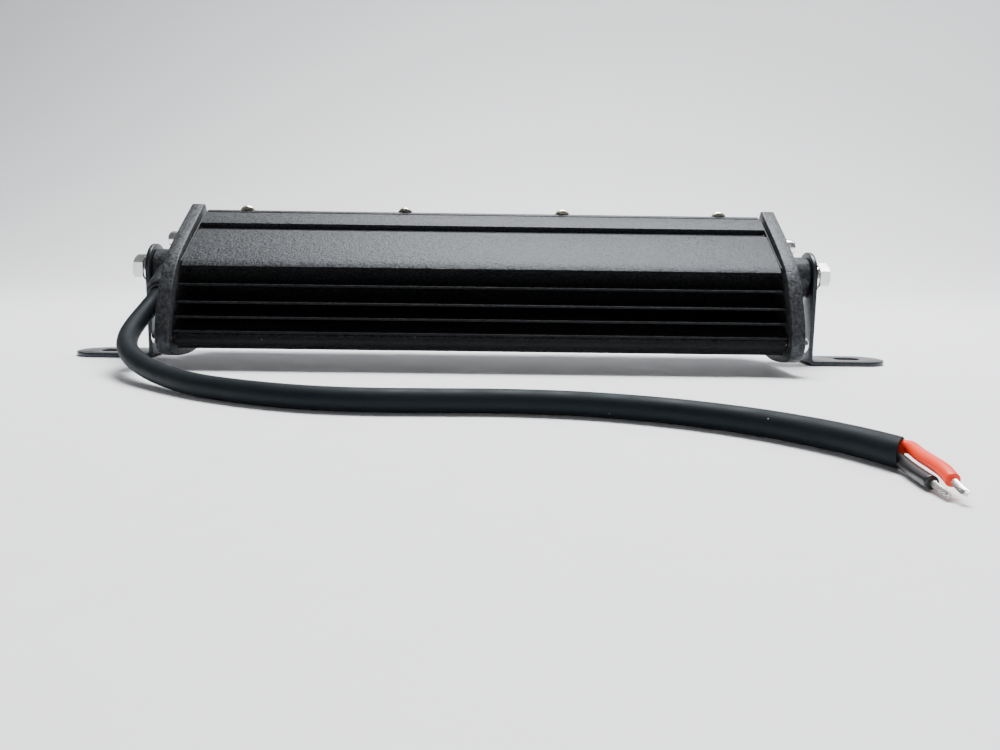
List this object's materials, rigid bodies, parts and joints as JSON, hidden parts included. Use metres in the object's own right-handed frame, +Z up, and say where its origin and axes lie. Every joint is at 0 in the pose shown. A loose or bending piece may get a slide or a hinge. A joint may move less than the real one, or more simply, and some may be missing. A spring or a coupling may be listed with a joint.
{
  "type": "led light bar",
  "caption": "Slim LED light bar with a finned housing, bullet-shaped end caps, two tilting slotted foot brackets and a free power cable.",
  "frame": {"origin": "on the ground plane under the middle of the bar, at the bottom centre of its box without the cable", "axes": "+X along the bar with the cable at the -X end, +Y horizontal and out of the lens side, +Z up from the feet"},
  "size_m": [0.323, 0.221, 0.0597],
  "materials": {
    "powder_coat": "black fine-textured powder coat on aluminium",
    "bracket_sheet": "semi-gloss black on bent sheet steel",
    "zinc_fastener": "bright zinc plate",
    "brass_insert": "turned brass",
    "silicone": "matt black silicone",
    "cable_pvc": "satin black PVC",
    "black_core": "satin black core insulation",
    "red_core": "satin red core insulation",
    "tinned_copper": "tinned strands",
    "clear_lens": "clear moulded lens",
    "reflector_mirror": "metallised plastic",
    "led_phosphor": "yellow phosphor",
    "led_board": "white solder mask on aluminium",
    "circuit_board": "green circuit board",
    "thermal_pad": "grey silicone pad",
    "component": "moulded black components"
  },
  "bodies": {
    "lamp": {"bezel_screw_bottom_1": "zinc_fastener", "bezel_screw_bottom_2": "zinc_fastener", "bezel_screw_bottom_3": "zinc_fastener", "bezel_screw_bottom_4": "zinc_fastener", "bezel_screw_top_1": "zinc_fastener", "bezel_screw_top_2": "zinc_fastener", "bezel_screw_top_3": "zinc_fastener", "bezel_screw_top_4": "zinc_fastener", "bolt_insert_left": "brass_insert", "bolt_insert_right": "brass_insert", "bolt_left": "zinc_fastener", "bolt_right": "zinc_fastener", "cable_gland": "silicone", "cable_sheath": "cable_pvc", "driver_board": "circuit_board", "driver_capacitor": "component", "driver_chip": "component", "driver_inductor": "component", "end_cap_left": "powder_coat", "end_cap_right": "powder_coat", "end_cap_screw_left_1": "zinc_fastener", "end_cap_screw_left_2": "zinc_fastener", "end_cap_screw_left_3": "zinc_fastener", "end_cap_screw_right_1": "zinc_fastener", "end_cap_screw_right_2": "zinc_fastener", "end_cap_screw_right_3": "zinc_fastener", "end_gasket_left": "silicone", "end_gasket_right": "silicone", "flat_washer_left": "zinc_fastener", "flat_washer_right": "zinc_fastener", "front_bezel": "powder_coat", "housing": "powder_coat", "inner_lead_black": "black_core", "inner_lead_red": "red_core", "led_array": "led_phosphor", "led_board": "led_board", "lens": "clear_lens", "lens_gasket": "silicone", "reflector": "reflector_mirror", "spring_washer_left": "zinc_fastener", "spring_washer_right": "zinc_fastener", "thermal_pad_bottom": "thermal_pad", "thermal_pad_top": "thermal_pad", "wire_black": "black_core", "wire_red": "red_core", "wire_tip_black": "tinned_copper", "wire_tip_red": "tinned_copper"},
    "bracket_left_body": {"bracket_left": "bracket_sheet"},
    "bracket_right_body": {"bracket_right": "bracket_sheet"}
  },
  "joints": [
    {"name": "bracket_left_tilt", "type": "hinge", "parent": "lamp", "child": "bracket_left_body", "pos_m": [-0.1291, 0.0089, 0.0341], "axis": [1, 0, 0], "range_deg": [-90, 90]},
    {"name": "bracket_right_tilt", "type": "hinge", "parent": "lamp", "child": "bracket_right_body", "pos_m": [0.1291, 0.0089, 0.0341], "axis": [1, 0, 0], "range_deg": [-90, 90]}
  ]
}
